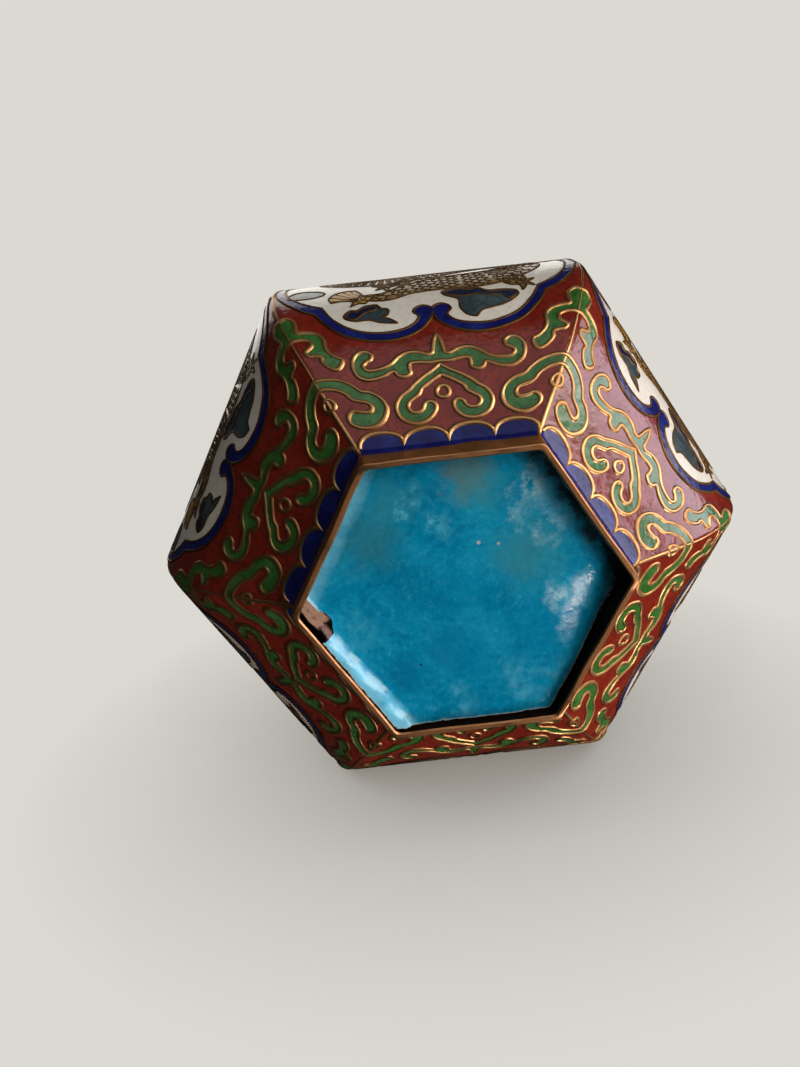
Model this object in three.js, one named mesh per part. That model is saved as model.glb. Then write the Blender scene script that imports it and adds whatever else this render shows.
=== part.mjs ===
// A hexagonal enamelled copper jar: the body, a bare foot ring soldered under it, and a base plate
// set inside the ring. Millimetres, +Z up, origin on the table under the middle of the foot.

import * as THREE from "three";

// Driving dimensions. A radius is to a ridge, where two of the six faces meet.
const footRadius = 22;
const footHeight = 4;
const ringThickness = 1;
const bellyRadius = 42;
const bellyHeight = 27;
const neckRadius = 25;
const neckFoot = 50; // where the shoulder meets the neck
const mouthHeight = 62;
const lipRadius = 27.5;
const wall = 2; // copper sheet with enamel on both sides
const plateThickness = 1.5;
const plateDome = 0.5; // how far the plate's middle bulges down
const solderGap = 0.3; // between the plate's edge and the foot ring
const ridgeRounding = 0.045; // rounding of a ridge, as a share of its radius

// Curve shape: how the wall leaves the foot, and how long it stays near the belly's widest line.
const footFlare = THREE.MathUtils.degToRad(40);
const footReach = 6;
const bellyReachDown = 15.5;
const bellyReachUp = 13;
const shoulderReach = 9;
const shoulderSlope = THREE.MathUtils.degToRad(32);
const neckReach = 3;
const lipRise = 3;

// Fineness of the facets.
const sides = 6;
const columnsPerSide = 4; // a face's middle, then three columns round the ridge
const curveSteps = 14;
const shortSteps = 5;

const gilt = new THREE.MeshStandardMaterial({ color: 0xa9743a, roughness: 0.42, metalness: 0.9 });
const redEnamel = new THREE.MeshStandardMaterial({ color: 0x7d241c, roughness: 0.2, metalness: 0 });
const turquoiseEnamel = new THREE.MeshStandardMaterial({ color: 0x0c7fa3, roughness: 0.2, metalness: 0 });

// A hexagon with a radius of 1 and rounded ridges, as one point per column of a turned shape.
function unitHexagon() {
  const half = Math.PI / sides;
  const columns = sides * columnsPerSide;
  const arcCentre = 1 - ridgeRounding;
  const apothem = arcCentre * Math.cos(half) + ridgeRounding;
  const points = [];
  for (let i = 0; i < columns; i++) {
    const step = i % columnsPerSide;
    const ridge = Math.round(i / columnsPerSide) * 2 * half;
    if (step === columnsPerSide / 2) {
      const middle = (i / columnsPerSide) * 2 * half;
      points.push(new THREE.Vector2(Math.cos(middle), Math.sin(middle)).multiplyScalar(apothem));
    } else {
      const turn = ridge + half * Math.sign(step * (columnsPerSide / 2 - step));
      const centre = new THREE.Vector2(Math.cos(ridge), Math.sin(ridge)).multiplyScalar(arcCentre);
      const reach = new THREE.Vector2(Math.cos(turn), Math.sin(turn)).multiplyScalar(ridgeRounding);
      points.push(centre.add(reach));
    }
  }
  return points;
}

// Turns a profile of (ridge radius, height) into a solid with six faces, standing along +Z.
function hexagonalSolid(profile) {
  const hexagon = unitHexagon();
  const geometry = new THREE.LatheGeometry(profile, hexagon.length);
  const position = geometry.getAttribute("position");
  for (let i = 0; i < position.count; i++) {
    const column = Math.floor(i / profile.length) % hexagon.length;
    const point = profile[i % profile.length];
    position.setXYZ(i, hexagon[column].x * point.x, hexagon[column].y * point.x, point.y);
  }
  return geometry;
}

function cubic(start, startHandle, endHandle, end, steps) {
  return new THREE.CubicBezierCurve(start, startHandle, endHandle, end).getPoints(steps);
}

const at = (radius, height) => new THREE.Vector2(radius, height);

// The outside of the wall, from the foot ring up to the lip.
function outerProfile() {
  const foot = at(footRadius, footHeight);
  const belly = at(bellyRadius, bellyHeight);
  const neck = at(neckRadius, neckFoot);
  const lip = at(lipRadius, mouthHeight - wall / 2);
  const leaveFoot = at(Math.cos(footFlare), Math.sin(footFlare)).multiplyScalar(footReach).add(foot);
  const reachBelly = at(bellyRadius, bellyHeight - bellyReachDown);
  const leaveBelly = at(bellyRadius, bellyHeight + bellyReachUp);
  const downShoulder = at(Math.cos(shoulderSlope), -Math.sin(shoulderSlope));
  const reachNeck = downShoulder.multiplyScalar(shoulderReach).add(neck);
  const leaveNeck = at(neckRadius - neckReach / 2, neckFoot + neckReach);
  const reachLip = at(lipRadius, lip.y - lipRise);
  return [
    ...cubic(foot, leaveFoot, reachBelly, belly, curveSteps),
    ...cubic(belly, leaveBelly, reachNeck, neck, curveSteps).slice(1),
    ...cubic(neck, leaveNeck, reachLip, lip, shortSteps).slice(1),
  ];
}

// The same line moved inwards by the wall, running back down to the open underside.
function innerProfile(outer) {
  const inner = outer.map((point, i) => {
    const before = outer[Math.max(i - 1, 0)];
    const after = outer[Math.min(i + 1, outer.length - 1)];
    const along = after.clone().sub(before).normalize();
    return at(point.x - along.y * wall, point.y + along.x * wall);
  });
  inner[0] = at(footRadius - wall, footHeight);
  return inner.filter((point, i) => i === 0 || point.y > footHeight + wall / 4).reverse();
}

function makeBody() {
  const outer = outerProfile();
  const inner = innerProfile(outer);
  const crown = at(lipRadius - wall / 2, mouthHeight);
  const profile = [...outer, crown, ...inner, outer[0].clone()];
  const mesh = new THREE.Mesh(hexagonalSolid(profile), redEnamel);
  mesh.name = "body";
  return mesh;
}

function makeFootRing() {
  const inside = footRadius - ringThickness;
  const profile = [
    at(inside, 0),
    at(footRadius, 0),
    at(footRadius, footHeight),
    at(inside, footHeight),
    at(inside, 0),
  ];
  const mesh = new THREE.Mesh(hexagonalSolid(profile), gilt);
  mesh.name = "foot_ring";
  return mesh;
}

// The plate is soldered against the body's lower edge, inside the ring. Its underside bulges a little.
function makeBasePlate() {
  const radius = footRadius - ringThickness - solderGap;
  const edge = footHeight - plateThickness + plateDome;
  const middle = footHeight - plateThickness;
  const leaveMiddle = at(radius * 0.6, middle);
  const reachEdge = at(radius * 0.9, edge);
  const underside = cubic(at(0, middle), leaveMiddle, reachEdge, at(radius, edge), shortSteps);
  const profile = [...underside, at(radius, footHeight), at(0, footHeight)];
  const mesh = new THREE.Mesh(hexagonalSolid(profile), turquoiseEnamel);
  mesh.name = "base_plate";
  return mesh;
}

const jar = new THREE.Group();
jar.add(makeBody(), makeFootRing(), makeBasePlate());

export default jar;
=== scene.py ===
import math

import bmesh
import bpy
from mathutils import Euler, Matrix, Vector, noise
from mathutils.geometry import interpolate_bezier


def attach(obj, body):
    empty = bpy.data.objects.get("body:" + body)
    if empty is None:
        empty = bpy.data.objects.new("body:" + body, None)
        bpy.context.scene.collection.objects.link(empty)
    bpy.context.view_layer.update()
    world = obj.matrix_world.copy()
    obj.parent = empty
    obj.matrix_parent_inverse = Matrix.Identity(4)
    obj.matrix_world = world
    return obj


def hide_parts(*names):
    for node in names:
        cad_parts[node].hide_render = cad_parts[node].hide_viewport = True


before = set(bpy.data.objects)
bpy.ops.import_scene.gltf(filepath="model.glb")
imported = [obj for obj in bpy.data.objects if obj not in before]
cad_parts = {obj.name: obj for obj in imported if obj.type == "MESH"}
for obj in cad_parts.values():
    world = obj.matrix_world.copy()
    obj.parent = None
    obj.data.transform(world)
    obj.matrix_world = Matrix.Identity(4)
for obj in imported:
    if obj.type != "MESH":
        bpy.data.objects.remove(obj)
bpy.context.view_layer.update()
mm = 0.001
print("frame loaded")

# sizes of the jar in millimetres; a radius is to a ridge, where two of the six faces meet
jar = {
    "footRadius": 22.0,
    "footHeight": 4.0,
    "footFlare": 40.0,  # degrees, as the wall leaves the foot
    "footReach": 6.0,  # a reach is the length of a handle of the wall's curve
    "bellyRadius": 42.0,
    "bellyHeight": 27.0,
    "bellyReachDown": 15.5,
    "bellyReachUp": 13.0,
    "shoulderSlope": 32.0,  # degrees, as the shoulder meets the neck
    "shoulderReach": 9.0,
    "neckRadius": 25.0,
    "neckFoot": 50.0,
    "neckReach": 3.0,
    "mouthHeight": 62.0,
    "lipRadius": 27.5,
    "lipReach": 3.0,
    "lipHeight": 3.2,  # of the bare metal round the outside of the mouth
    "wall": 2.0,
    "rounding": 0.045,  # of a ridge, as a share of its radius
    "lineStep": 0.1,  # spacing of the table that the ornament is laid out on
}


def linear(hexColour):
    parts = [int(hexColour[i:i + 2], 16) / 255 for i in (1, 3, 5)]
    return [c / 12.92 if c <= 0.04045 else ((c + 0.055) / 1.055) ** 2.4 for c in parts] + [1.0]


def addNode(tree, kind, inputs=None, **settings):
    node = tree.nodes.new(kind)
    for name, value in settings.items():
        setattr(node, name, value)
    for key, value in (inputs or {}).items():
        if isinstance(value, bpy.types.NodeSocket):
            tree.links.new(value, node.inputs[key])
        else:
            node.inputs[key].default_value = value
    return node


def newMaterial(name):
    material = bpy.data.materials.new(name)
    material.use_nodes = True
    material.node_tree.nodes.clear()
    return material, material.node_tree


# The jar's form as a line of (ridge radius, height) and the way a face is laid out flat


def wallCurves(steps):
    # foot to belly, belly to neck and neck to lip
    flare, slope = math.radians(jar["footFlare"]), math.radians(jar["shoulderSlope"])
    foot = (jar["footRadius"], jar["footHeight"])
    belly = (jar["bellyRadius"], jar["bellyHeight"])
    neck = (jar["neckRadius"], jar["neckFoot"])
    lip = (jar["lipRadius"], jar["mouthHeight"] - jar["wall"] / 2)
    leaveFoot = (foot[0] + jar["footReach"] * math.cos(flare), foot[1] + jar["footReach"] * math.sin(flare))
    reachBelly = (belly[0], belly[1] - jar["bellyReachDown"])
    leaveBelly = (belly[0], belly[1] + jar["bellyReachUp"])
    across, down = jar["shoulderReach"] * math.cos(slope), jar["shoulderReach"] * math.sin(slope)
    reachNeck = (neck[0] + across, neck[1] - down)
    leaveNeck = (neck[0] - jar["neckReach"] / 2, neck[1] + jar["neckReach"])
    reachLip = (lip[0], lip[1] - jar["lipReach"])
    corners = [
        (foot, leaveFoot, reachBelly, belly),
        (belly, leaveBelly, reachNeck, neck),
        (neck, leaveNeck, reachLip, lip),
    ]
    return [[p.to_2d() for p in interpolate_bezier(*[Vector((*q, 0)) for q in c], steps)] for c in corners]


def runOf(line):
    return sum(math.hypot((b.x - a.x) * apothemShare, b.y - a.y) for a, b in zip(line, line[1:]))


halfAngle = math.pi / 6  # of one face, seen from the jar's axis
apothemShare = (1 - jar["rounding"]) * math.cos(halfAngle) + jar["rounding"]
curves = wallCurves(steps=120)
lowRun, topRun = [runOf(line) for line in curves[:2]]
fineLine = curves[0] + curves[1][1:] + curves[2][1:]


def tableOfWall():
    # even steps along the middle of a face: ridge radius, height and outward normal
    rows, walked, target = [], 0.0, 0.0
    for a, b in zip(fineLine, fineLine[1:]):
        length = math.hypot((b.x - a.x) * apothemShare, b.y - a.y)
        along = Vector(((b.x - a.x) * apothemShare, b.y - a.y)).normalized()
        while target <= walked + length:
            p = a.lerp(b, (target - walked) / length)
            rows.append((p.x, p.y, along.y, -along.x))
            target += jar["lineStep"]
        walked += length
    return rows


wallTable = tableOfWall()


def wallAt(s):
    if s < 0:
        return [jar["footRadius"], jar["footHeight"] + s, 1.0, 0.0]
    place = min(s / jar["lineStep"], len(wallTable) - 1.001)  # stops short of the last row
    i = int(place)
    a, b = wallTable[i], wallTable[i + 1]
    return [p + (q - p) * (place - i) for p, q in zip(a, b)]


def halfFace(s):
    return wallAt(s)[0] * ((1 - jar["rounding"]) * 0.5 + jar["rounding"] * halfAngle)


def onJar(u, s, lift):
    # u runs across a face from its middle, s up the wall from the foot ring, lift is out of the surface
    radius, height, out, down = wallAt(s)
    reach = halfFace(s)
    face = 0
    while u > reach:
        u, face = u - 2 * reach, face + 1
    while u < -reach:
        u, face = u + 2 * reach, face - 1
    rounding = radius * jar["rounding"]
    flat = (radius - rounding) * 0.5
    turn = max(abs(u) - flat, 0) / rounding
    side = math.copysign(1, u)
    across = u if turn == 0 else side * (flat + rounding * math.sin(turn))
    away = radius * apothemShare - rounding * (1 - math.cos(turn))
    angle = math.radians(60 * face - 90)
    normal = Vector((math.cos(angle), math.sin(angle), 0))
    tangent = Vector((-math.sin(angle), math.cos(angle), 0))
    outward = normal * math.cos(turn) + tangent * math.sin(turn) * side
    point = normal * away + tangent * across + Vector((0, 0, height))
    return (point + (outward * out + Vector((0, 0, down))) * lift) * mm


def inUpperHalf(x, s):
    # the border round the foot comes again, turned over, round the neck
    s2 = lowRun + topRun - s * topRun / lowRun
    return x * halfFace(s2) / halfFace(s), s2


print("wall laid out,", round(lowRun, 2), "mm from foot to belly and", round(topRun, 2), "to the neck")


# Helpers that make and finish meshes


def hexagonRing(bm, radius, height):
    sharp = radius * (1 + jar["rounding"] * (1 / math.cos(halfAngle) - 1))
    ring = bmesh.ops.create_circle(bm, segments=6, radius=sharp)["verts"]
    bmesh.ops.rotate(bm, verts=ring, cent=(0, 0, 0), matrix=Matrix.Rotation(halfAngle, 3, "Z"))
    offset = radius * jar["rounding"] * math.tan(halfAngle)
    bmesh.ops.bevel(bm, geom=ring, offset=offset, affect="VERTICES", segments=4, profile=0.5, material=-1)
    bmesh.ops.translate(bm, verts=bm.verts[:], vec=(0, 0, height))
    return bm.edges[:]


def hexagonWall(line):
    # line holds (ridge radius, height, material slot of the band that ends there)
    bm = bmesh.new()
    edges = hexagonRing(bm, line[0][0], line[0][1])
    for before, after in zip(line, line[1:]):
        made = bmesh.ops.extrude_edge_only(bm, edges=edges)["geom"]
        verts = [g for g in made if isinstance(g, bmesh.types.BMVert)]
        fresh = set(verts)
        edges = [g for g in made if isinstance(g, bmesh.types.BMEdge) and fresh.issuperset(g.verts)]
        for g in made:
            if isinstance(g, bmesh.types.BMFace):
                g.material_index = after[2]
        share = after[0] / before[0]
        bmesh.ops.scale(bm, verts=verts, vec=(share, share, 1))
        bmesh.ops.translate(bm, verts=verts, vec=(0, 0, after[1] - before[1]))
    bmesh.ops.remove_doubles(bm, verts=bm.verts[:], dist=1e-4)
    bmesh.ops.recalc_face_normals(bm, faces=bm.faces[:])
    return bm


def finishPiece(name, bm, materials, scale=mm, sharpAngle=35, weighted=False):
    bmesh.ops.scale(bm, verts=bm.verts[:], vec=(scale, scale, scale))
    mesh = bpy.data.meshes.new(name)
    bm.to_mesh(mesh)
    bm.free()
    mesh.shade_smooth()
    mesh.set_sharp_from_angle(angle=math.radians(sharpAngle))
    for material in materials:
        mesh.materials.append(material)
    piece = bpy.data.objects.new(name, mesh)
    bpy.context.scene.collection.objects.link(piece)
    if weighted:
        modifier = piece.modifiers.new("even shading", "WEIGHTED_NORMAL")
        modifier.keep_sharp = True
    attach(piece, "root")
    print(name, len(mesh.polygons), "faces")
    return piece


def rounded(points, closed=True, steps=5):
    # a smooth line through the points; a point with a third number is a corner
    knots = [Vector((p[0], p[1], 0)) for p in points]
    sharp = [len(p) > 2 for p in points]
    count = len(knots)
    line = []
    for i in range(count if closed else count - 1):
        j = (i + 1) % count
        a, b = knots[i], knots[j]
        before = knots[i - 1] if closed or i else a
        after = knots[(j + 1) % count] if closed or j + 1 < count else b
        leave = a if sharp[i] else a + (b - before) / 6
        reach = b if sharp[j] else b - (after - a) / 6
        line += interpolate_bezier(a, leave, reach, b, steps + 1)[:-1]
    if not closed:
        line.append(knots[-1])
    return [(p.x, p.y) for p in line]


def bothSides(halfLine):
    # from a right half, top of the middle line to its foot, to the whole closed outline
    return halfLine + [(-p[0], *p[1:]) for p in reversed(halfLine) if p[0] != 0]


def centreLine(path, steps=5):
    knots = [Vector(p) for p in path]
    line = []
    for i, (a, b) in enumerate(zip(knots, knots[1:])):
        before = knots[max(i - 1, 0)]
        after = knots[min(i + 2, len(knots) - 1)]
        line += interpolate_bezier(a, a + (b - before) / 6, b - (after - a) / 6, b, steps + 1)[:-1]
    return line + [knots[-1]]


def sideways(line, i):
    along = line[min(i + 1, len(line) - 1)] - line[max(i - 1, 0)]
    return Vector((-along.y, along.x, 0)).normalized()


def stroke(path, steps=5):
    # a brush stroke through (u, s, half width), with round ends
    line = centreLine(path, steps)
    left = [(p + sideways(line, i) * p.z).to_2d() for i, p in enumerate(line)]
    right = [(p - sideways(line, i) * p.z).to_2d() for i, p in enumerate(line)]
    ends = []
    for i, sign in ((len(line) - 1, -1), (0, 1)):
        out = sideways(line, i) * -sign
        arc = [Matrix.Rotation(math.radians(-a), 3, "Z") @ out * line[i].z for a in (45, 90, 135)]
        ends.append([(line[i] + a).to_2d() for a in arc])
    return [tuple(p) for p in left + ends[0] + right[::-1] + ends[1]]


ornament = {
    "depth": 0.1,  # mm, of a sheet of colour
    "cut": 0.6,  # mm between cuts across a sheet, which let it bend with the wall
    "merge": 0.02,  # mm, closer corners of a sheet become one
    "wireHeight": 0.55,  # as a share of the wire's width
    "sway": 0.16,  # mm, how far the hand-bent wires stray
    "swayRate": 0.3,  # waves of the sway in a millimetre
    "swaySeed": 12,  # of twelve tried, the one whose sheets fold least
    "ridgeSeed": 4,  # another sway at the ridges than on the faces
}
noise.seed_set(ornament["swaySeed"])  # the same sway in every run


def flatMesh(loops, wire=None, closed=True, fine=1, bends=()):
    # flat lines become a filled sheet of some depth, or a thin wire
    curve = bpy.data.curves.new("flat", "CURVE")
    if wire:
        curve.dimensions = "3D"
        curve.bevel_depth = wire
        curve.bevel_resolution = fine
        curve.use_fill_caps = True
    else:
        curve.dimensions = "2D"
        curve.fill_mode = "BOTH"
        curve.extrude = ornament["depth"] / 2
    for loop in loops:
        spline = curve.splines.new("POLY")
        spline.points.add(len(loop) - 1)
        spline.points.foreach_set("co", [c for p in loop for c in (p[0], p[1], 0, 1)])
        spline.use_cyclic_u = closed
    carrier = bpy.data.objects.new("flat", curve)
    bpy.context.scene.collection.objects.link(carrier)
    mesh = bpy.data.meshes.new_from_object(carrier.evaluated_get(bpy.context.evaluated_depsgraph_get()))
    bpy.data.objects.remove(carrier)
    bpy.data.curves.remove(curve)
    bm = bmesh.new()
    bm.from_mesh(mesh)
    bpy.data.meshes.remove(mesh)
    bmesh.ops.remove_doubles(bm, verts=bm.verts[:], dist=1e-4)
    if wire:
        bmesh.ops.scale(bm, verts=bm.verts[:], vec=(1, 1, ornament["wireHeight"]))
        return bm
    # the long thin triangles of the fill would fold when they are bent, so they are joined and cut anew
    bmesh.ops.dissolve_limit(bm, angle_limit=0.01, verts=bm.verts[:], edges=bm.edges[:])
    low = min(v.co.y for v in bm.verts)
    high = max(v.co.y for v in bm.verts)
    step = ornament["cut"]
    cuts = [((0, low + step * i, 0), (0, 1, 0)) for i in range(1, math.ceil((high - low) / step))]
    cuts += [((u, 0, 0), (1, 0, 0)) for u in bends]
    for place, across in cuts:
        everything = bm.verts[:] + bm.edges[:] + bm.faces[:]
        bmesh.ops.bisect_plane(bm, geom=everything, plane_co=place, plane_no=across, dist=1e-5)
    bmesh.ops.remove_doubles(bm, verts=bm.verts[:], dist=ornament["merge"])
    bmesh.ops.dissolve_degenerate(bm, edges=bm.edges[:], dist=ornament["merge"] / 2)
    return bm


def layOut(target, flat, lift=0.0, ridge=False, halves=(False,)):
    # bends a flat mesh round the first face or ridge, repeats it for the others, and adds it to the target
    seed = ornament["ridgeSeed"] if ridge else 0
    for upper in halves:
        bm = flat.copy()
        for v in bm.verts:
            x, s, h = v.co
            sway = noise.noise_vector(Vector((x, s, seed)) * ornament["swayRate"]) * ornament["sway"]
            x, s = x + sway.x, s + sway.y
            if upper:
                x, s = inUpperHalf(x, s)
            v.co = onJar(x + halfFace(s) if ridge else x, s, h + lift)
        if upper:
            bmesh.ops.reverse_faces(bm, faces=bm.faces[:])
        everything = bm.verts[:] + bm.edges[:] + bm.faces[:]
        bmesh.ops.spin(
            bm, geom=everything, cent=(0, 0, 0), axis=(0, 0, 1), dvec=(0, 0, 0),
            angle=math.radians(300), steps=5, use_duplicate=True,
        )
        mesh = bpy.data.meshes.new("laid")
        bm.to_mesh(mesh)
        bm.free()
        target.from_mesh(mesh)
        bpy.data.meshes.remove(mesh)
    flat.free()


# Materials

enamelLook = {
    "cloud": 3.2,  # mm, change of colour where the glaze is thicker
    "grain": 0.55,  # mm, fine unevenness of the fired glass
    "wave": 1.5,  # mm, hand-polished unevenness
    "waveDepth": 0.16,  # mm
    "pits": 1.6,  # mm between burst bubbles
    "pitDepth": 0.04,  # mm
    "clouds": 0.75,  # how far a cloud goes to the paler colour
    "roughness": 0.16,
}


# fired glass enamel, ground and polished by hand: glossy, faintly wavy, cloudy in colour, with burst bubbles
def enamel(name, colour, paler, darker, wear=0.65, glass=1.52):
    look = enamelLook
    material, tree = newMaterial(name)
    place = addNode(tree, "ShaderNodeTexCoord").outputs["Object"]
    cloud, grain, wave = [
        addNode(tree, "ShaderNodeTexNoise", {
            "Vector": place, "Scale": 1 / (look[pattern] * mm), "Detail": detail,
        }).outputs["Fac"] for pattern, detail in (("cloud", 4.0), ("grain", 3.0), ("wave", 2.0))
    ]
    pits = addNode(tree, "ShaderNodeTexVoronoi", {"Vector": place, "Scale": 1 / (look["pits"] * mm)})
    pale = addNode(tree, "ShaderNodeMapRange", {
        "Value": cloud, "From Min": 0.45, "From Max": 0.75, "To Max": look["clouds"],
    })
    dark = addNode(tree, "ShaderNodeMapRange", {
        "Value": grain, "From Min": 0.44, "From Max": 0.74, "To Max": wear,
    })
    hole = addNode(tree, "ShaderNodeMapRange", {
        "Value": pits.outputs["Distance"], "From Min": 0.05, "From Max": 0.11, "To Min": 1.0, "To Max": 0.0,
    })
    tone = linear(colour)
    for amount, tint in ((pale, paler), (dark, darker), (hole, darker)):
        tone = addNode(tree, "ShaderNodeMix", {
            0: amount.outputs[0], 6: tone, 7: linear(tint),
        }, data_type="RGBA").outputs[2]
    gloss = addNode(tree, "ShaderNodeMapRange", {
        "Value": grain, "From Min": 0.3, "From Max": 0.7,
        "To Min": look["roughness"] * 0.8, "To Max": look["roughness"] * 1.6,
    })
    waves = addNode(tree, "ShaderNodeBump", {
        "Height": wave, "Strength": 0.55, "Distance": look["waveDepth"] * mm,
    })
    dents = addNode(tree, "ShaderNodeBump", {
        "Height": hole.outputs[0], "Normal": waves.outputs["Normal"],
        "Strength": 0.5, "Distance": look["pitDepth"] * mm,
    }, invert=True)
    shader = addNode(tree, "ShaderNodeBsdfPrincipled", {
        "Base Color": tone, "Roughness": gloss.outputs[0], "Normal": dents.outputs["Normal"], "IOR": glass,
    })
    addNode(tree, "ShaderNodeOutputMaterial", {"Surface": shader.outputs["BSDF"]})
    return material


giltLook = {
    "tarnish": 5.0,  # mm, patches where the gold is thin
    "tarnished": 0.7,  # how far a patch goes to the worn colour
    "scratch": 0.6,  # mm, fine unevenness
    "scratchDepth": 0.03,  # mm
}


# thinly gilded copper: warm metal, browner where the gold has worn through
def gilt(name, colour, worn, roughness, metal=1.0):
    look = giltLook
    material, tree = newMaterial(name)
    place = addNode(tree, "ShaderNodeTexCoord").outputs["Object"]
    patch = addNode(tree, "ShaderNodeTexNoise", {
        "Vector": place, "Scale": 1 / (look["tarnish"] * mm), "Detail": 5.0, "Roughness": 0.65,
    })
    fine = addNode(tree, "ShaderNodeTexNoise", {
        "Vector": place, "Scale": 1 / (look["scratch"] * mm), "Detail": 3.0,
    })
    amount = addNode(tree, "ShaderNodeMapRange", {
        "Value": patch.outputs["Fac"], "From Min": 0.42, "From Max": 0.68, "To Max": look["tarnished"],
    })
    tone = addNode(tree, "ShaderNodeMix", {
        0: amount.outputs[0], 6: linear(colour), 7: linear(worn),
    }, data_type="RGBA")
    gloss = addNode(tree, "ShaderNodeMapRange", {
        "Value": patch.outputs["Fac"], "From Min": 0.35, "From Max": 0.7,
        "To Min": roughness * 0.8, "To Max": roughness * 1.7,
    })
    bump = addNode(tree, "ShaderNodeBump", {
        "Height": fine.outputs["Fac"], "Strength": 0.4, "Distance": look["scratchDepth"] * mm,
    })
    shader = addNode(tree, "ShaderNodeBsdfPrincipled", {
        "Base Color": tone.outputs[2], "Metallic": metal,
        "Roughness": gloss.outputs[0], "Normal": bump.outputs["Normal"],
    })
    addNode(tree, "ShaderNodeOutputMaterial", {"Surface": shader.outputs["BSDF"]})
    return material


# the blue, tan and yellow have less shine than real enamel, because the wide lamps veil them at a low angle
redEnamel = enamel("red_enamel", "#701e12", "#863020", "#3c0d07")  # brownish ground of the wall
greenEnamel = enamel("green_enamel", "#2e6026", "#478048", "#153315")  # patchy, paler where thin
blueEnamel = enamel("cobalt_enamel", "#13175c", "#22348a", "#080a26", glass=1.36)  # deep, almost black
whiteEnamel = enamel("white_enamel", "#d6d4cc", "#e2e0da", "#b0aba0", wear=0.3)  # a little grey
tanEnamel = enamel("tan_enamel", "#80653a", "#9a7d4c", "#46351a", glass=1.3)  # like dull brass
yellowEnamel = enamel("yellow_enamel", "#b08a35", "#c9a554", "#6f5117", glass=1.36)  # ochre
greyEnamel = enamel("grey_green_enamel", "#33434b", "#55686b", "#1a2228")  # dark and cool
inkEnamel = enamel("ink_blue_enamel", "#161b3c", "#2b3766", "#0b0d1d")  # shaded side of a cloud
turquoiseLining = enamel("turquoise_lining", "#0b86a8", "#2f9bb4", "#075469")  # bright inside of the jar
giltWire = gilt("gilt_wire", "#c39664", "#815a32", roughness=0.36)  # polished with the enamel, so it glints
dullWire = gilt("dull_wire", "#6a4e26", "#3a2812", roughness=0.5)  # finer and browner
giltBand = gilt("gilt_band", "#9a6a32", "#5a3a1c", roughness=0.42, metal=0.7)  # brown film over the gold
wornLip = gilt("worn_copper_lip", "#b5835a", "#6e4628", roughness=0.36)  # rubbed bare, pinkish
darkCopper = gilt("darkened_copper", "#2a1c14", "#120c09", roughness=0.6)  # oxidised, nearly black

# Body: the wall with its lining and bare lip


def makeBody():
    wall, mouth = jar["wall"], jar["mouthHeight"]
    outer = [p for line in wallCurves(steps=30) for p in line[1:]]
    outer.insert(0, Vector((jar["footRadius"], jar["footHeight"])))
    inner = []
    for i, p in enumerate(outer):
        along = (outer[min(i + 1, len(outer) - 1)] - outer[max(i - 1, 0)]).normalized()
        inner.append(Vector((p.x - along.y * wall, p.y + along.x * wall)))
    inner = [p for p in inner if p.y > jar["footHeight"] + wall * 0.3]
    inner.insert(0, Vector((jar["footRadius"] - wall, jar["footHeight"])))
    red, lip, lining = 0, 1, 2
    lipFrom = mouth - jar["lipHeight"]
    line = [(p.x, p.y, lip if p.y > lipFrom else red) for p in outer]
    crown = jar["lipRadius"] - wall / 2
    for k in range(1, 8):
        turn = math.pi * k / 8
        line.append((crown + math.cos(turn) * wall / 2, mouth - wall / 2 + math.sin(turn) * wall / 2, lip))
    line += [(p.x, p.y, lip if p.y > lipFrom + wall / 2 else lining) for p in reversed(inner)]
    line.append((*line[0][:2], lining))
    materials = [redEnamel, giltBand, turquoiseLining]
    piece = finishPiece("body_wall", hexagonWall(line), materials, weighted=True)
    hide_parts("body")


makeBody()

# Border round the foot, repeated round the neck: half outlines in mm, u from the middle and s up the wall

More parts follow.
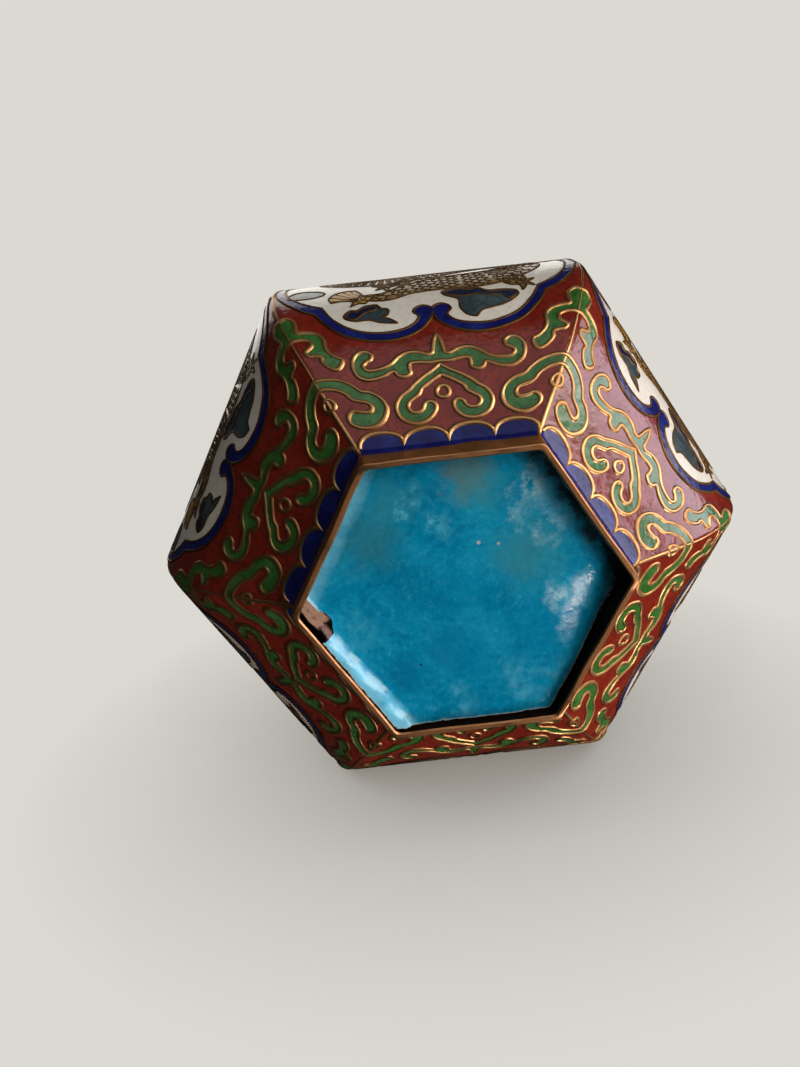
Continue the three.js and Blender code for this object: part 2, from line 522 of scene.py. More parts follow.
border = {
    "wire": 0.3,
    "lift": 0.04,  # of a wire's middle above the red
    "ruyi": [
        (0, 10.55, 1), (1.1, 9.75), (2.5, 8.95), (3.65, 8.15), (4.35, 7.5), (5.25, 6.9), (5.9, 6.0),
        (6.0, 5.15), (5.5, 4.05), (4.5, 3.4), (3.4, 3.2), (2.3, 3.5), (1.5, 4.15), (1.1, 4.9), (1.2, 5.55),
        (1.75, 5.85), (2.35, 5.6), (2.65, 5.0), (3.2, 4.6), (4.0, 4.65), (4.5, 5.2), (4.4, 5.85),
        (3.7, 6.4), (3.0, 6.9), (2.65, 7.55), (1.9, 8.05), (0.95, 8.6), (0, 9.1, 1),
    ],
    "ridgeRuyi": [
        (0, 10.25, 1), (1.6, 10.2), (3.0, 9.85), (4.05, 9.05), (4.65, 8.15), (5.6, 7.9), (6.45, 7.1),
        (6.6, 6.0), (6.05, 4.9), (5.0, 3.95), (3.5, 3.35), (2.1, 3.45), (1.25, 4.1), (1.5, 5.0), (2.4, 5.6),
        (3.2, 5.4), (4.3, 5.3), (4.9, 5.95), (4.6, 6.6), (3.55, 6.9), (3.0, 7.2), (2.6, 8.05), (1.75, 8.7),
        (0.7, 8.95), (0, 9.0, 1),
    ],
    "scroll": [
        (0, 15.0, 1), (0.42, 14.0), (0.6, 13.1), (0.75, 12.3, 1), (1.4, 12.1), (2.6, 12.6), (3.95, 12.6),
        (5.05, 12.1), (6.0, 11.3), (7.2, 10.8), (8.5, 10.7), (9.25, 10.9), (9.6, 11.5), (9.15, 12.0),
        (8.55, 12.3), (8.45, 13.05), (9.25, 13.5), (10.2, 13.2), (10.8, 12.3), (10.8, 11.2), (10.3, 10.2),
        (9.3, 9.55), (8.4, 9.45), (7.15, 9.7), (6.15, 10.2), (5.6, 10.25, 1), (5.3, 9.7), (4.6, 9.45),
        (3.85, 9.8), (3.85, 10.5), (3.7, 11.1), (2.55, 11.2), (1.3, 10.95), (0, 11.0),
    ],
    "ridgeScroll": [
        (0, 20.3), (0.9, 20.4), (1.65, 19.6), (1.5, 18.4), (1.3, 17.6), (2.3, 17.5), (3.6, 17.1),
        (4.1, 16.2), (3.75, 15.0), (3.75, 14.0), (4.25, 13.2), (4.95, 12.75), (4.6, 12.0), (3.65, 11.35),
        (2.8, 11.8), (2.4, 12.7), (2.6, 13.45), (1.8, 13.7), (1.1, 13.8), (1.05, 14.4), (1.9, 14.95),
        (2.35, 15.5), (2.25, 16.05), (1.4, 16.4), (0, 16.4),
    ],
    "ring": (6.95, 0.78),  # place on the middle line and radius of the small ring
    "scallops": 4,
    "scallopFoot": 0.75,
    "scallopTop": 2.6,
    "scallopGap": 0.15,  # between the last scallop and the ridge
    "scallopFullness": 0.8,  # below 1 is rounder than a sine wave
    "scallopWire": 0.345,
    "blueFoot": -0.5,  # the enamel runs down over the top of the foot ring
    "blueNeck": 0.12,
    "blueGap": 0.03,  # left for the seam at the ridge
    "seamWire": 0.17,
    "seamFootWire": 0.3,  # thicker beside the scallops
    "seamStep": 0.5,
    "ridgeCut": 0.3,  # a sheet is cut at this spacing to bend round a ridge
    "endCut": 0.15,  # and the blue band at this one, near its ends
}


def circle(u, s, radius, count=20):
    turns = [2 * math.pi * i / count for i in range(count)]
    return [(u + radius * math.cos(turn), s + radius * math.sin(turn)) for turn in turns]


def scallopLine():
    foot = border["scallopFoot"]
    reach = halfFace(foot) - border["scallopGap"]
    width = 2 * reach / border["scallops"]
    rise = border["scallopTop"] - foot
    steps = 12
    line = []
    for i in range(border["scallops"]):
        start = -reach + i * width
        for k in range(steps):
            turn = math.pi * k / steps
            height = rise * math.sin(turn) ** border["scallopFullness"]
            line.append((start + width * (1 - math.cos(turn)) / 2, foot + height))
    return line + [(reach, foot)]


both = (False, True)  # the lower half and the upper one
ridgeBends = [border["ridgeCut"] * i for i in range(-4, 5)]
greens, blues, whites, wires, lightWires, scaleWires = [bmesh.new() for i in range(6)]
for name, ridge in (("ruyi", False), ("ridgeRuyi", True), ("scroll", False), ("ridgeScroll", True)):
    outline = rounded(bothSides(border[name]))
    layOut(greens, flatMesh([outline], bends=ridgeBends if ridge else ()), ridge=ridge, halves=both)
    layOut(wires, flatMesh([outline], wire=border["wire"]), lift=border["lift"], ridge=ridge, halves=both)
for ridge in (False, True):
    ring = circle(0, border["ring"][0], border["ring"][1])
    layOut(wires, flatMesh([ring], wire=border["wire"]), lift=border["lift"], ridge=ridge, halves=both)
scallops = scallopLine()
edgeOfBlue = halfFace(0) - border["blueGap"]
endBends = [side * (edgeOfBlue - border["endCut"] * i) for side in (-1, 1) for i in range(1, 5)]
for foot, halves in ((border["blueFoot"], (False,)), (border["blueNeck"], (True,))):
    band = scallops + [(edgeOfBlue, foot), (-edgeOfBlue, foot)]
    layOut(blues, flatMesh([band], bends=endBends), halves=halves)
scallopWire = flatMesh([scallops], wire=border["scallopWire"], closed=False)
layOut(wires, scallopWire, lift=border["lift"], halves=both)
seamPoints = int((lowRun + topRun) / border["seamStep"]) + 2
seam = [(0, border["seamStep"] * i - 1) for i in range(seamPoints)]  # from 1 mm below the wall
layOut(wires, flatMesh([seam], wire=border["seamWire"], closed=False), lift=0.02, ridge=True)
seamFoot = flatMesh([seam[:20]], wire=border["seamFootWire"], closed=False)
layOut(wires, seamFoot, lift=0.03, ridge=True, halves=both)

# Cartouche on each face: right halves in mm, from the middle out to the belly line

cartouche = {
    "wire": 0.19,
    "outer": [
        (0.0, 18.9), (0.15, 18.0), (0.65, 17.1), (1.7, 16.0), (3.5, 15.1), (6.0, 14.7), (8.55, 15.0),
        (11.0, 15.9), (12.95, 17.45), (14.35, 19.3), (15.1, 20.7, 1), (16.7, 21.6), (18.5, 23.6),
        (19.75, 26.0), (20.4, 28.6), (20.5, 30.5),
    ],
    "inner": [
        (0.0, 19.5), (0.5, 20.0), (1.25, 20.2), (2.1, 19.8), (2.4, 19.05), (2.0, 18.5), (1.85, 17.9),
        (2.6, 16.95), (4.0, 16.3), (6.5, 16.0), (9.0, 16.4), (11.15, 17.5), (12.8, 19.2), (13.8, 21.0),
        (14.2, 21.9, 1), (15.6, 22.7), (17.2, 24.2), (18.5, 26.3), (19.05, 28.5), (19.2, 30.5),
    ],
}


def upAndOver(name):
    # the right half runs to the belly and then back, turned over, in the upper half
    low = rounded(cartouche[name], closed=False)
    return low + [inUpperHalf(*p) for p in reversed(low[:-1])]


def mirrored(line):
    return [(-u, s) for u, s in line]


outerLine, innerLine = upAndOver("outer"), upAndOver("inner")
layOut(whites, flatMesh([innerLine + mirrored(innerLine)[::-1]]))
for flip in (list, mirrored):
    outerSide, innerSide = flip(outerLine), flip(innerLine)
    layOut(blues, flatMesh([outerSide + innerSide[::-1]]), lift=0.02)
    for line in (outerSide, innerSide):
        layOut(lightWires, flatMesh([line], wire=cartouche["wire"], closed=False), lift=0.06)
print("ornament laid out")

# Dragon among clouds inside each cartouche, in the same flat measure

picture = {
    "wire": 0.16,
    "scaleWire": 0.15,
    "scale": 1.05,  # mm across one scale
    "scaleDrop": 0.8,  # depth of a scale as a share of the spacing of the rows
    "scaleInset": 0.08,  # mm between the scales and the body's wire
    "row": 1.0,  # mm between rows of scales
    "body": [
        (-8.3, 23.5, 0.7), (-5.6, 23.3, 1.15), (-2.2, 24.9, 1.7), (2.0, 25.9, 2.4), (6.0, 26.0, 2.8),
        (9.8, 26.8, 2.9), (12.9, 29.4, 2.7), (12.6, 32.6, 2.5), (9.0, 34.2, 2.3), (4.5, 33.2, 2.3),
        (0.0, 31.2, 2.4), (-4.8, 30.1, 2.3), (-9.4, 30.7, 2.2), (-12.4, 33.0, 2.0), (-11.8, 35.8, 1.8),
        (-9.4, 37.4, 1.6),
    ],
    "tail": [
        (-8.4, 23.3), (-9.2, 22.5, 1), (-11.2, 23.1), (-12.9, 22.9, 1), (-13.2, 24.3), (-12.4, 25.6),
        (-11.1, 26.3), (-9.6, 26.2, 1), (-9.1, 25.3), (-8.7, 24.3, 1),
    ],
    "ribRoot": (-9.2, 22.9),
    "ribEnds": [(-12.8, 23.4), (-12.9, 24.6), (-12.1, 25.5), (-11.2, 26.0), (-10.2, 26.1)],
    "knot": [
        (-9.0, 24.7, 1), (-8.5, 23.8), (-7.2, 23.7, 1), (-7.9, 22.7), (-8.4, 22.0, 1), (-9.3, 22.1),
        (-10.3, 21.5, 1), (-9.9, 22.6), (-10.2, 23.5, 1), (-9.4, 23.5),
    ],
    "cloudLeft": [
        (-11.4, 19.4), (-10.6, 20.6), (-9.5, 20.5), (-8.5, 21.3), (-7.1, 21.4), (-6.5, 20.5), (-5.6, 20.1),
        (-5.7, 19.0), (-6.5, 18.6, 1), (-5.6, 18.3), (-4.6, 17.4, 1), (-6.5, 17.7), (-8.0, 18.4),
        (-10.0, 18.5),
    ],
    "cloudLeftDark": [
        (-11.2, 19.4), (-10.5, 20.4), (-9.5, 20.3), (-8.5, 21.1), (-7.3, 21.1), (-7.2, 20.3), (-8.6, 19.9),
        (-9.4, 19.2), (-10.2, 18.8),
    ],
    "cloudRight": [
        (1.8, 22.9), (3.5, 23.3), (5.0, 22.8), (6.2, 22.9), (7.6, 21.9), (9.4, 21.8), (11.1, 21.4),
        (11.4, 20.4), (10.4, 19.4), (9.0, 18.6), (7.5, 18.4), (6.3, 18.1), (5.6, 17.1, 1), (4.4, 17.6),
        (3.7, 19.0), (3.7, 20.6), (2.9, 21.3), (1.9, 21.9),
    ],
    "cloudRightDark": [
        (2.0, 22.7), (3.5, 23.1), (5.0, 22.6), (6.2, 22.7), (7.6, 21.7), (9.4, 21.6), (11.0, 21.2),
        (11.1, 20.4), (10.2, 19.8), (9.3, 20.7), (7.8, 20.9), (6.4, 21.4), (4.6, 21.2), (3.2, 21.6),
        (2.2, 22.0),
    ],
    "cloudFar": [
        (-18.6, 25.7), (-18.6, 27.0), (-17.4, 28.2), (-15.4, 28.1), (-13.9, 27.0), (-13.9, 25.9),
        (-15.5, 25.2), (-17.5, 25.2),
    ],
    "head": [
        (-9.9, 38.6), (-9.3, 40.1), (-8.1, 40.8), (-6.9, 41.0), (-6.0, 40.3), (-4.8, 40.1), (-3.6, 40.5),
        (-2.9, 39.8), (-3.4, 39.1), (-4.8, 38.8), (-6.0, 38.5, 1), (-4.7, 37.9), (-3.9, 37.2), (-4.7, 36.6),
        (-6.3, 36.8), (-7.6, 36.7), (-8.8, 36.9),
    ],
    "horns": [
        [(-8.0, 40.4, 0.4), (-9.4, 41.3, 0.35), (-10.6, 41.1, 0.12)],
        [(-9.6, 38.4, 0.5), (-11.2, 39.2, 0.4), (-12.6, 38.8, 0.1)],
    ],
    "eye": (-6.9, 39.7, 0.5),
    "pearl": (5.4, 37.9, 1.15),
    "legs": [
        # bends of the leg as (u, s, half width), then the way its claw points in degrees
        ([(10.4, 25.4, 1.4), (11.2, 23.7, 1.0), (12.0, 23.2, 0.7)], -10),
        ([(-2.2, 30.6, 1.4), (-2.9, 28.2, 0.9), (-5.2, 26.9, 0.7)], 190),
        ([(6.6, 34.2, 1.4), (9.0, 36.4, 1.0), (10.9, 36.6, 0.7)], 20),
    ],
    "toes": (-62, -20, 22, 64),  # degrees from the way the claw points
    "toeRoot": 0.45,  # half width in mm
    "toeBend": (1.15, 0.3),  # length and half width in mm
    "toeTip": (0.9, 0.08),
}
tans, yellows, greys, inks = [bmesh.new() for i in range(4)]


def paint(target, outline, lift=0.02):
    # a colour between thin wires
    layOut(target, flatMesh([outline]), lift=lift)
    layOut(lightWires, flatMesh([outline], wire=picture["wire"]), lift=lift + 0.05)


def turnedOver(outline):
    return [inUpperHalf(-p[0], p[1]) for p in outline]


def scaleLines(path):
    # rows of small arcs across a stroke, each row half a scale on from the last
    line = centreLine(path, 9)
    lines, walked, rows = [], 0.0, 1
    for i in range(1, len(line) - 1):
        walked += (line[i] - line[i - 1]).to_2d().length
        if walked < rows * picture["row"]:
            continue
        rows += 1
        across = sideways(line, i)
        tailward = Vector((-across.y, across.x, 0)) * picture["scaleDrop"] * picture["row"]
        width = line[i].z - picture["scaleInset"]
        count = max(2, round(2 * width / picture["scale"]))
        cell = 2 * width / count
        for k in range(count + rows % 2):
            middle = cell * (k + 0.5 - 0.5 * (rows % 2)) - width
            arc = []
            for t in (-0.5, -0.36, 0, 0.36, 0.5):
                offset = min(max(middle + cell * t, -width), width)
                point = Vector((line[i].x, line[i].y, 0)) + across * offset + tailward * (1 - 4 * t * t)
                arc.append((point.x, point.y))
            lines.append(arc)
    return lines


def addScales(lines, lift):
    layOut(scaleWires, flatMesh(lines, wire=picture["scaleWire"], closed=False, fine=0), lift=lift)


for name, target, lift, again in (
    ("cloudLeft", greys, 0.02, True), ("cloudRight", greys, 0.02, False), ("cloudFar", greys, 0.02, True),
    ("cloudLeftDark", inks, 0.035, True), ("cloudRightDark", inks, 0.035, False),
):
    outline = rounded(picture[name])
    paint(target, outline, lift)
    if again:
        paint(target, turnedOver(outline), lift)
bendLength, bendWidth = picture["toeBend"]
tipLength, tipWidth = picture["toeTip"]
for path, claw in picture["legs"]:
    u, s = path[-1][:2]
    for spread in picture["toes"]:
        toe, tip = math.radians(claw + spread), math.radians(claw + spread * 1.5)
        bend = (u + bendLength * math.cos(toe), s + bendLength * math.sin(toe), bendWidth)
        end = (bend[0] + tipLength * math.cos(tip), bend[1] + tipLength * math.sin(tip), tipWidth)
        paint(tans, stroke([(u, s, picture["toeRoot"]), bend, end], 3))
    paint(tans, stroke(path), lift=0.025)
    addScales(scaleLines(path), lift=0.075)
paint(yellows, rounded(picture["tail"]))
addScales([[picture["ribRoot"], end] for end in picture["ribEnds"]], lift=0.07)
paint(tans, stroke(picture["body"]), lift=0.03)
addScales(scaleLines(picture["body"]), lift=0.08)
paint(yellows, rounded(picture["knot"]), lift=0.045)
for path in picture["horns"]:
    paint(yellows, stroke(path), lift=0.035)
paint(tans, rounded(picture["head"]), lift=0.045)
u, s, radius = picture["eye"]
paint(yellows, circle(u, s, radius, 12), lift=0.06)
layOut(inks, flatMesh([circle(u, s, radius * 0.45, 8)]), lift=0.075)
u, s, radius = picture["pearl"]
paint(yellows, circle(u, s, radius), lift=0.03)
paint(inks, circle(u, s, radius * 0.5, 12), lift=0.045)
print("picture laid out")

for name, bm, material, slot in (
    ("green_scrolls", greens, greenEnamel, "red_enamel"),
    ("blue_bands", blues, blueEnamel, "red_enamel"),
    ("white_cartouches", whites, whiteEnamel, "red_enamel"),
    ("dragon", tans, tanEnamel, "red_enamel"),
    ("dragon_yellow", yellows, yellowEnamel, "red_enamel"),
    ("clouds", greys, greyEnamel, "red_enamel"),
    ("cloud_shadows", inks, inkEnamel, "red_enamel"),
    ("border_wires", wires, giltWire, "gilt_copper"),
    ("picture_wires", lightWires, dullWire, "gilt_copper"),
    ("dragon_scales", scaleWires, dullWire, "gilt_copper"),
):
    finishPiece(name, bm, [material], scale=1, sharpAngle=60)

# Foot ring and base plate

footRing = {
    "outer": 22.0,
    "inner": 21.0,
    "height": 3.98,
    "edge": 0.22,  # rounding of the lower edge
    "waver": 0.16,  # mm that the bent strip strays
    "waverRate": 0.16,  # waves in a millimetre
}


def makeFootRing():
    outer, inner, top, edge = [footRing[size] for size in ("outer", "inner", "height", "edge")]
    outside, inside, worn = 0, 1, 2
    line = [
        (inner, top, inside), (inner, edge, inside), (inner + edge, 0.03, worn), (outer - edge, 0.0, worn),
        (outer - 0.06, edge * 0.4, worn), (outer, edge, worn), (outer, top, outside), (inner, top, inside),
    ]
    bm = hexagonWall(line)
    long = [e for e in bm.edges if e.calc_length() > 8]
    bmesh.ops.subdivide_edges(bm, edges=long, cuts=15, use_grid_fill=True)
    for v in bm.verts:
        out = Vector((v.co.x, v.co.y, 0)).normalized()
        v.co += out * noise.noise(v.co * footRing["waverRate"]) * footRing["waver"]
    piece = finishPiece("foot_band", bm, [giltBand, darkCopper, wornLip], weighted=True)
    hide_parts("foot_ring")


makeFootRing()

basePlate = {
    "reach": 18.2,  # from the middle to each side of the ring
    # a side is known by its direction in degrees
    "gap": {30: 0.3, 90: 0.15, -90: 0, -30: 0, 150: 0, 210: 0},  # dark gap before the ring
    "lip": 0.12,  # width of the edge that closes the gap
    "top": 3.98,
    "middle": 2.35,
    "lowest": 0.5,
    "cells": 120,
    "buckle": (0.14, 0.13),  # mm, and waves in a millimetre
    "ripple": (0.04, 0.35),
    "tilt": 0.05,
    "hollow": (7.5, 0.0088, 0.02464),  # mm wide, and its curve at one end and what the other end adds
    "rises": {-30: (0.8, 2.2), -90: (0.3, 2.0), 210: (0.3, 2.0)},  # mm high and mm wide
    "roll": (1.9, 1.5, 0.4),  # the pale side's drop, width and waver
    "waver": (0.14, 0.3),  # of the outline: mm, and waves in a millimetre
    "drift": 3.333,  # mm, mottling
    "cloud": 7.692,  # mm, broad patches
    "grain": 0.909,  # mm, specks, drawn coarser than real ones so that they show
    "stray": 9.0,  # mm that the mottling pulls stains and haze about
    "colour": "#0079a2",
    "copper": ("#57443b", "#150e0a"),
    "stains": [
        # x, y and radius in mm, colour, strength, as for the haze and glare and the pits
        (1.5, -15.4, 4.6, "#566f68", 0.65), (4.0, -12.6, 4.2, "#2f7f8c", 0.4),
        (8.6, -4.6, 6.4, "#357780", 0.5), (-11.0, -8.4, 6.0, "#2a6c76", 0.55),
        (-8.0, -13.4, 4.0, "#2a7480", 0.5), (-1.5, 8.5, 6.0, "#016a96", 0.6),
        (-9.0, 10.5, 3.4, "#02608a", 0.5), (8.0, 7.0, 5.0, "#016e98", 0.5),
    ],
    # the whitish spots on the right side are painted glare; the bluer ones are paler patches of glass
    "haze_and_glare": [
        (9.8, -12.6, 3.4, "#a5ccd4", 0.9), (12.0, -8.2, 3.4, "#97c2cc", 0.75),
        (7.4, -10.0, 2.4, "#8cc4d0", 0.7), (13.6, 2.6, 4.0, "#a2c6d2", 0.8),
        (-2.5, -9.5, 2.6, "#5fbcd2", 0.7), (-5.2, -12.5, 2.6, "#5fbcd2", 0.6),
        (7.0, 13.4, 4.4, "#5aaec6", 0.4), (-2.0, 16.0, 4.0, "#58b4cc", 0.6),
        (-13.5, 3.5, 3.5, "#4fb4d0", 0.3),
    ],
    "pits": [
        (2.4, -6.4, 0.34, "#a3aaa0", 0.9), (4.9, -6.0, 0.3, "#98a299", 0.9),
        (-9.0, 17.0, 1.2, "#0e0d0b", 1.0), (-15.2, 11.2, 0.5, "#18201e", 0.9),
        (-6.5, 9.5, 0.3, "#0a3040", 0.9), (-11.5, 12.5, 0.3, "#0a3040", 0.9),
    ],
}


# thick turquoise glass under the base: mottled, hazy, stained, nearly black in the gap, copper bare at one
# corner; painted shade along the edges, a painted lit strip along the rolled side and painted glare near the
# right side
def baseEnamel():
    material, tree = newMaterial("turquoise_base_enamel")
    place = addNode(tree, "ShaderNodeTexCoord").outputs["Object"]
    patterns = [
        addNode(tree, "ShaderNodeTexNoise", {
            "Vector": place, "Scale": 1 / (basePlate[pattern] * mm), "Detail": detail, "Roughness": rough,
        }) for pattern, detail, rough in (("drift", 6.0, 0.7), ("cloud", 7.0, 0.72), ("grain", 4.0, 0.7))
    ]
    drift, cloud, grain = [pattern.outputs["Fac"] for pattern in patterns]
    centred = addNode(tree, "ShaderNodeVectorMath", {
        0: patterns[0].outputs["Color"], 1: (0.5, 0.5, 0.5),
    }, operation="SUBTRACT")
    stray = basePlate["stray"] * mm
    uneven = addNode(tree, "ShaderNodeVectorMath", {
        0: centred.outputs[0], 1: (stray, stray, 0.0), 2: place,
    }, operation="MULTIPLY_ADD")
    swirled, plain = [
        addNode(tree, "ShaderNodeVectorMath", {0: point, 1: (1.0, 1.0, 0.0)}, operation="MULTIPLY").outputs[0]
        for point in (uneven.outputs[0], place)
    ]
    painted_light_strip, painted_shade, bare, edge = [
        addNode(tree, "ShaderNodeAttribute", attribute_name=name).outputs["Fac"]
        for name in ("painted_light_strip", "painted_shade", "bare", "edge")
    ]
    painted_light_streak, painted_shade_mottled = [
        addNode(tree, "ShaderNodeMath", {0: drift, 1: where}, operation="MULTIPLY").outputs[0]
        for where in (painted_light_strip, painted_shade)
    ]
    ragged, torn = [
        addNode(tree, "ShaderNodeMath", {0: grain, 1: share, 2: where}, operation="MULTIPLY_ADD").outputs[0]
        for where, share in ((edge, 0.7), (bare, 0.6))
    ]
    washes = []
    for source, start, end, strength, colour in (
        # what the colour follows, the values between which it comes in, and how far
        (cloud, 0.48, 0.7, 0.5, "#1f98ba"),
        (cloud, 0.5, 0.32, 0.7, "#005e84"),
        (grain, 0.52, 0.74, 0.6, "#04506c"),
        (grain, 0.46, 0.28, 0.2, "#4fb2cc"),
        (painted_light_streak, 0.12, 0.5, 0.85, "#74c4e4"),  # painted light: the pale strip along the roll
        (ragged, 0.62, 0.48, 0.6, "#a9a898"),  # thin rim
        (ragged, 0.45, 0.35, 1.0, "#080a0a"),  # nearly black in the gap
        # painted shade along the edges of the plate
        (painted_shade_mottled, 0.12, 0.5, 1.0, "#0b2228"),
    ):
        amount = addNode(tree, "ShaderNodeMapRange", {
            "Value": source, "From Min": start, "From Max": end, "To Max": strength,
        })
        washes.append((amount.outputs[0], linear(colour)))
    wisp, metal = [
        addNode(tree, "ShaderNodeMapRange", {"Value": source, "From Min": start, "From Max": end}).outputs[0]
        for source, start, end in ((drift, 0.42, 0.62), (torn, 0.75, 0.85))
    ]
    spots = []
    for kind, around, core in (("stains", swirled, 0.2), ("haze_and_glare", swirled, 0.0), ("pits", plain, 0.3)):
        for x, y, radius, colour, strength in basePlate[kind]:
            apart = addNode(tree, "ShaderNodeVectorMath", {
                0: around, 1: (x * mm, y * mm, 0),
            }, operation="DISTANCE")
            amount = addNode(tree, "ShaderNodeMapRange", {
                "Value": apart.outputs["Value"],
                "From Min": radius * mm, "From Max": radius * core * mm, "To Max": strength,
            }, interpolation_type="SMOOTHSTEP")
            if kind == "haze_and_glare":  # torn into wisps
                whole = {0: amount.outputs[0], 1: wisp}
                amount = addNode(tree, "ShaderNodeMath", whole, operation="MULTIPLY")
            spots.append((amount.outputs[0], linear(colour)))
    pink, black = [linear(colour) for colour in basePlate["copper"]]
    copper = addNode(tree, "ShaderNodeMix", {0: drift, 6: pink, 7: black}, data_type="RGBA").outputs[2]
    tone = linear(basePlate["colour"])
    for amount, colour in washes[:4] + spots + washes[4:] + [(metal, copper)]:
        tone = addNode(tree, "ShaderNodeMix", {0: amount, 6: tone, 7: colour}, data_type="RGBA").outputs[2]
    gloss = addNode(tree, "ShaderNodeMapRange", {
        "Value": drift, "From Min": 0.35, "From Max": 0.7, "To Min": 0.05, "To Max": 0.2,
    })
    waves = addNode(tree, "ShaderNodeBump", {"Height": drift, "Strength": 0.4, "Distance": 0.2 * mm})
    rough = addNode(tree, "ShaderNodeBump", {
        "Height": grain, "Normal": waves.outputs["Normal"], "Strength": 0.25, "Distance": 0.06 * mm,
    })
    shader = addNode(tree, "ShaderNodeBsdfPrincipled", {
        "Base Color": tone, "Metallic": metal, "Roughness": gloss.outputs[0],
        "Normal": rough.outputs["Normal"], "IOR": 1.52,
    })
    addNode(tree, "ShaderNodeOutputMaterial", {"Surface": shader.outputs["BSDF"]})
    return material


def outOf(angle):
    # the way that a side of the plate faces
    return Vector((math.cos(math.radians(angle)), math.sin(math.radians(angle)), 0))


def plateHeight(point, gaps, wobble):
    size, rate = basePlate["buckle"]
    height = basePlate["middle"] + size * noise.noise(point * rate) + basePlate["ripple"][0] * wobble
    height -= basePlate["tilt"] * point.y
    width, curve, more = basePlate["hollow"]
    along = max(0, min(1, (11 - point.y) / 7))  # from 0 at y = 11 mm to 1 at y = 4 mm
    height += (curve + more * along) * max(0, width - gaps[30]) ** 2
    for angle, (rise, width) in basePlate["rises"].items():
        height += rise * math.exp(-gaps[angle] / width)
    drop, width, waver = basePlate["roll"]
    height -= (drop + waver * wobble) * math.exp(-(gaps[150] / (width + waver * wobble)) ** 2)
    return height


def makeBasePlate():
    bm = bmesh.new()
    cells, reach = basePlate["cells"], basePlate["reach"]
    bmesh.ops.create_grid(bm, x_segments=cells, y_segments=cells, size=footRing["outer"])
    edge, painted_light_strip, painted_shade, bare = [bm.verts.layers.float.new(name) for name in ("edge", "painted_light_strip", "painted_shade", "bare")]
    for angle, gap in basePlate["gap"].items():
        out = outOf(angle)
        for inset in (gap, gap - basePlate["lip"], 0):
            everything = bm.verts[:] + bm.edges[:] + bm.faces[:]
            bmesh.ops.bisect_plane(
                bm, geom=everything, plane_co=out * (reach - max(inset, 0)), plane_no=out,
                clear_outer=inset <= 0, dist=1e-4,
            )
    bmesh.ops.reverse_faces(bm, faces=bm.faces[:])
    stray, strayRate = basePlate["waver"]
    for v in bm.verts:
        gaps = {angle: reach - v.co.dot(outOf(angle)) for angle in basePlate["gap"]}  # in from each side
        wobble = noise.noise(v.co * basePlate["ripple"][1])
        inside = min(gaps[angle] - gap for angle, gap in basePlate["gap"].items())
        height = plateHeight(v.co, gaps, wobble)
        if inside < -0.05:
            height = basePlate["top"]
        fromCorner = (v.co.x + footRing["inner"]) * 0.5 + v.co.y * 0.866  # along the pale side
        v[edge] = max(inside, 0)
        # painted light: a pale strip along the rolled side, and a fainter one along the left-top side
        v[painted_light_strip] = math.exp(-(gaps[150] / (1.4 + 0.06 * fromCorner)) ** 4)
        v[painted_light_strip] += 0.75 * math.exp(-(gaps[210] / 1.8) ** 2)
        # painted shade: darker along the right-top edge, where the ring's wall shades the plate, and along
        # two other edges
        v[painted_shade] = math.exp(-(gaps[-30] / 2.6) ** 2)
        v[painted_shade] += 0.75 * math.exp(-gaps[30] / 1.7) + 0.3 * math.exp(-gaps[-90] / 0.8)
        nearSide, nearCorner = 2.2 + 1.2 * wobble - gaps[150], 6.2 + 3 * wobble - fromCorner
        v[bare] = max(0, min(1, nearSide / 0.7, nearCorner / 0.9))
        v.co.z = min(max(height, basePlate["lowest"]), basePlate["top"] - 0.2)
        v.co.x += stray * noise.noise(v.co * strayRate)
        v.co.y += stray * noise.noise(v.co * strayRate + Vector((9, 0, 0)))
    top = bmesh.ops.extrude_face_region(bm, geom=bm.faces[:])["geom"]
    for v in top:
        if isinstance(v, bmesh.types.BMVert):
            v.co.z = basePlate["top"]
    bmesh.ops.recalc_face_normals(bm, faces=bm.faces[:])
    piece = finishPiece("turquoise_base", bm, [baseEnamel()], sharpAngle=50)
    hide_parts("base_plate")


makeBasePlate()

# Stage, lights and camera

stage = {
    "size": 6.0,  # m
    "below": 0.2,  # mm from the jar's foot to the floor
    "behind": jar["bellyRadius"] * apothemShare + 0.2,  # mm, place of the upright board that the jar touches
    "colour": "#dcd9d3",
    "shade": "#7d7870",  # painted shadow, close under the jar
    "reach": 45.0,  # mm, how far the painted shadow spreads
    "bounce": "#b09c82",  # what the paper throws back at the jar
    "air": 0.03,  # light from all round
}


# pale seamless paper with a painted soft shadow near the jar, seen from its front only so that it never hides
# the jar
def paleBoard():
    material, tree = newMaterial("pale_paper")
    near = addNode(tree, "ShaderNodeAmbientOcclusion", {"Distance": stage["reach"] * mm}, samples=16)
    tone = addNode(tree, "ShaderNodeMix", {
        0: near.outputs["AO"], 6: linear(stage["shade"]), 7: linear(stage["colour"]),
    }, data_type="RGBA")
    even = addNode(tree, "ShaderNodeEmission", {"Color": tone.outputs[2]}).outputs["Emission"]
    matt = addNode(tree, "ShaderNodeBsdfDiffuse", {"Color": linear(stage["bounce"])}).outputs["BSDF"]
    seen = addNode(tree, "ShaderNodeLightPath").outputs["Is Camera Ray"]
    paper = addNode(tree, "ShaderNodeMixShader", {0: seen, 1: matt, 2: even}).outputs["Shader"]
    clear = addNode(tree, "ShaderNodeBsdfTransparent").outputs["BSDF"]
    behind = addNode(tree, "ShaderNodeNewGeometry").outputs["Backfacing"]
    sided = addNode(tree, "ShaderNodeMixShader", {0: behind, 1: paper, 2: clear})
    addNode(tree, "ShaderNodeOutputMaterial", {"Surface": sided.outputs["Shader"]})
    return material


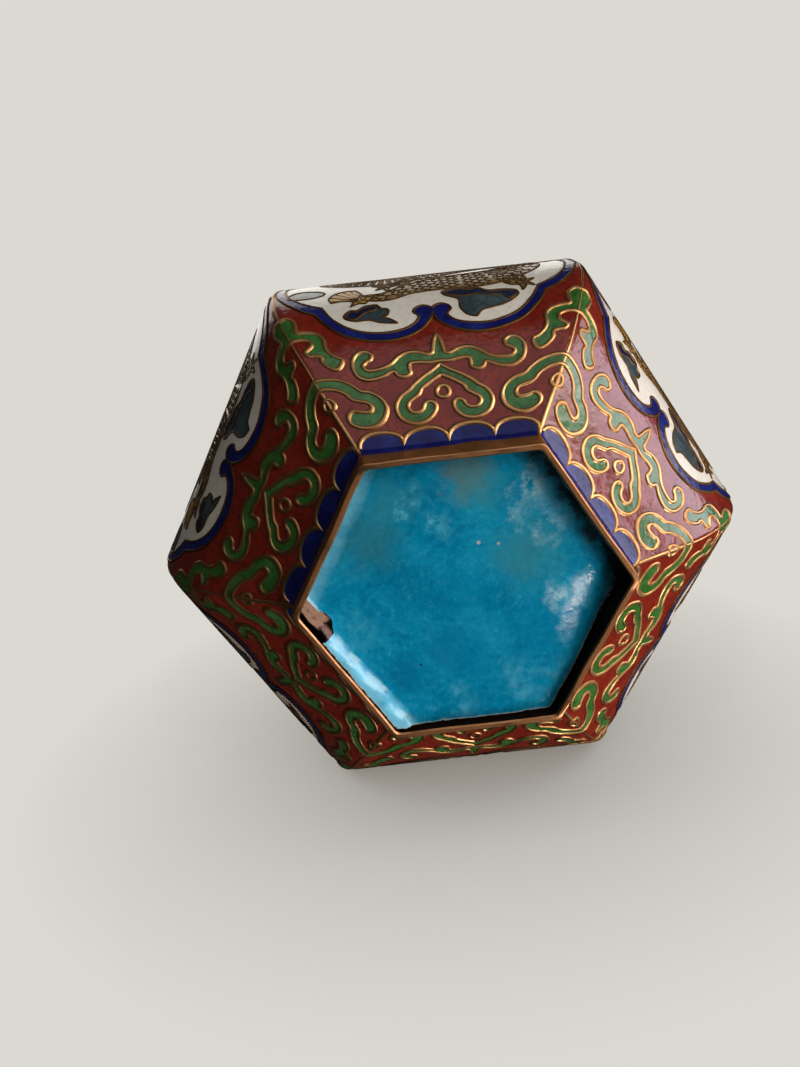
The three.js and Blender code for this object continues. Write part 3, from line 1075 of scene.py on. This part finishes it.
def board(name, matrix, material):
    bm = bmesh.new()
    bmesh.ops.create_grid(bm, x_segments=1, y_segments=1, size=stage["size"] / 2, matrix=matrix)
    mesh = bpy.data.meshes.new(name)
    bm.to_mesh(mesh)
    bm.free()
    mesh.materials.append(material)
    made = bpy.data.objects.new(name, mesh)
    bpy.context.scene.collection.objects.link(made)
    made.visible_shadow = False
    made.visible_glossy = False
    return made


paper = paleBoard()
floor = board("floor", Matrix.Translation((0, 0, -stage["below"] * mm)), paper)
floor.visible_diffuse = False
upright = Matrix.Translation((0, stage["behind"] * mm, 0)) @ Matrix.Rotation(math.radians(90), 4, "X")
board("backdrop", upright, paper)

lights = {
    # name: (place mm, size mm, watts, colour, whether it lights matt surfaces, glossy ones or both)
    # the glint stands in front of the low glow, which would hide it from the plate
    "key": ((576, -336, -440), (500, 500), 5.0, "#fff4e6", "both"),
    "sideGlow": ((700, -60, -50), (380, 420), 2.7, "#f6f1ff", "both"),
    "front": ((54, -760, -560), (900, 900), 1.6, "#f4f6fb", "both"),
    "overhead": ((-300, -420, 1500), (1500, 1500), 11.0, "#fffaf2", "both"),
    "backFill": ((-360, 360, 1000), (700, 700), 7.0, "#f4f6fb", "matt"),
    "lowGlow": ((210, 257, -238), (100, 140), 1.05, "#fff2ec", "matt"),
    "plateGlint": ((205, 251, -232), (70, 125), 0.72, "#fff2ec", "glossy"),
}
aim = Vector((0, 0, 25)) * mm  # low in the jar
for name, (place, size, watts, colour, kind) in lights.items():
    lamp = bpy.data.lights.new(name, "AREA")
    lamp.shape = "RECTANGLE"
    lamp.size, lamp.size_y = size[0] * mm, size[1] * mm
    lamp.energy = watts
    lamp.color = linear(colour)[:3]
    holder = bpy.data.objects.new(name, lamp)
    holder.location = Vector(place) * mm
    holder.visible_camera = False
    holder.visible_diffuse = kind != "glossy"
    holder.visible_glossy = kind != "matt"
    holder.rotation_euler = (aim - holder.location).to_track_quat("-Z", "Y").to_euler()
    bpy.context.scene.collection.objects.link(holder)

world = bpy.data.worlds.new("studio")
world.use_nodes = True
world.node_tree.nodes.clear()
ray = addNode(world.node_tree, "ShaderNodeLightPath").outputs["Is Camera Ray"]
shine = addNode(world.node_tree, "ShaderNodeMapRange", {"Value": ray, "To Min": stage["air"], "To Max": 1.0})
air = addNode(world.node_tree, "ShaderNodeBackground", {
    "Color": linear(stage["colour"]), "Strength": shine.outputs[0],
})
addNode(world.node_tree, "ShaderNodeOutputWorld", {"Surface": air.outputs["Background"]})
bpy.context.scene.world = world

view = {"place": (-7.494, -53.639, -113.924), "turn": (159.093, 2.391, 5.975), "lens": 33.74}
lens = bpy.data.cameras.new("camera")
lens.lens = view["lens"]
lens.sensor_width = 36
lens.clip_start = 0.005
camera = bpy.data.objects.new("camera", lens)
camera.location = Vector(view["place"]) * mm
camera.rotation_euler = Euler([math.radians(a) for a in view["turn"]], "XYZ")
bpy.context.scene.collection.objects.link(camera)
bpy.context.scene.camera = camera
bpy.context.scene.view_settings.view_transform = "Standard"
print("stage set")
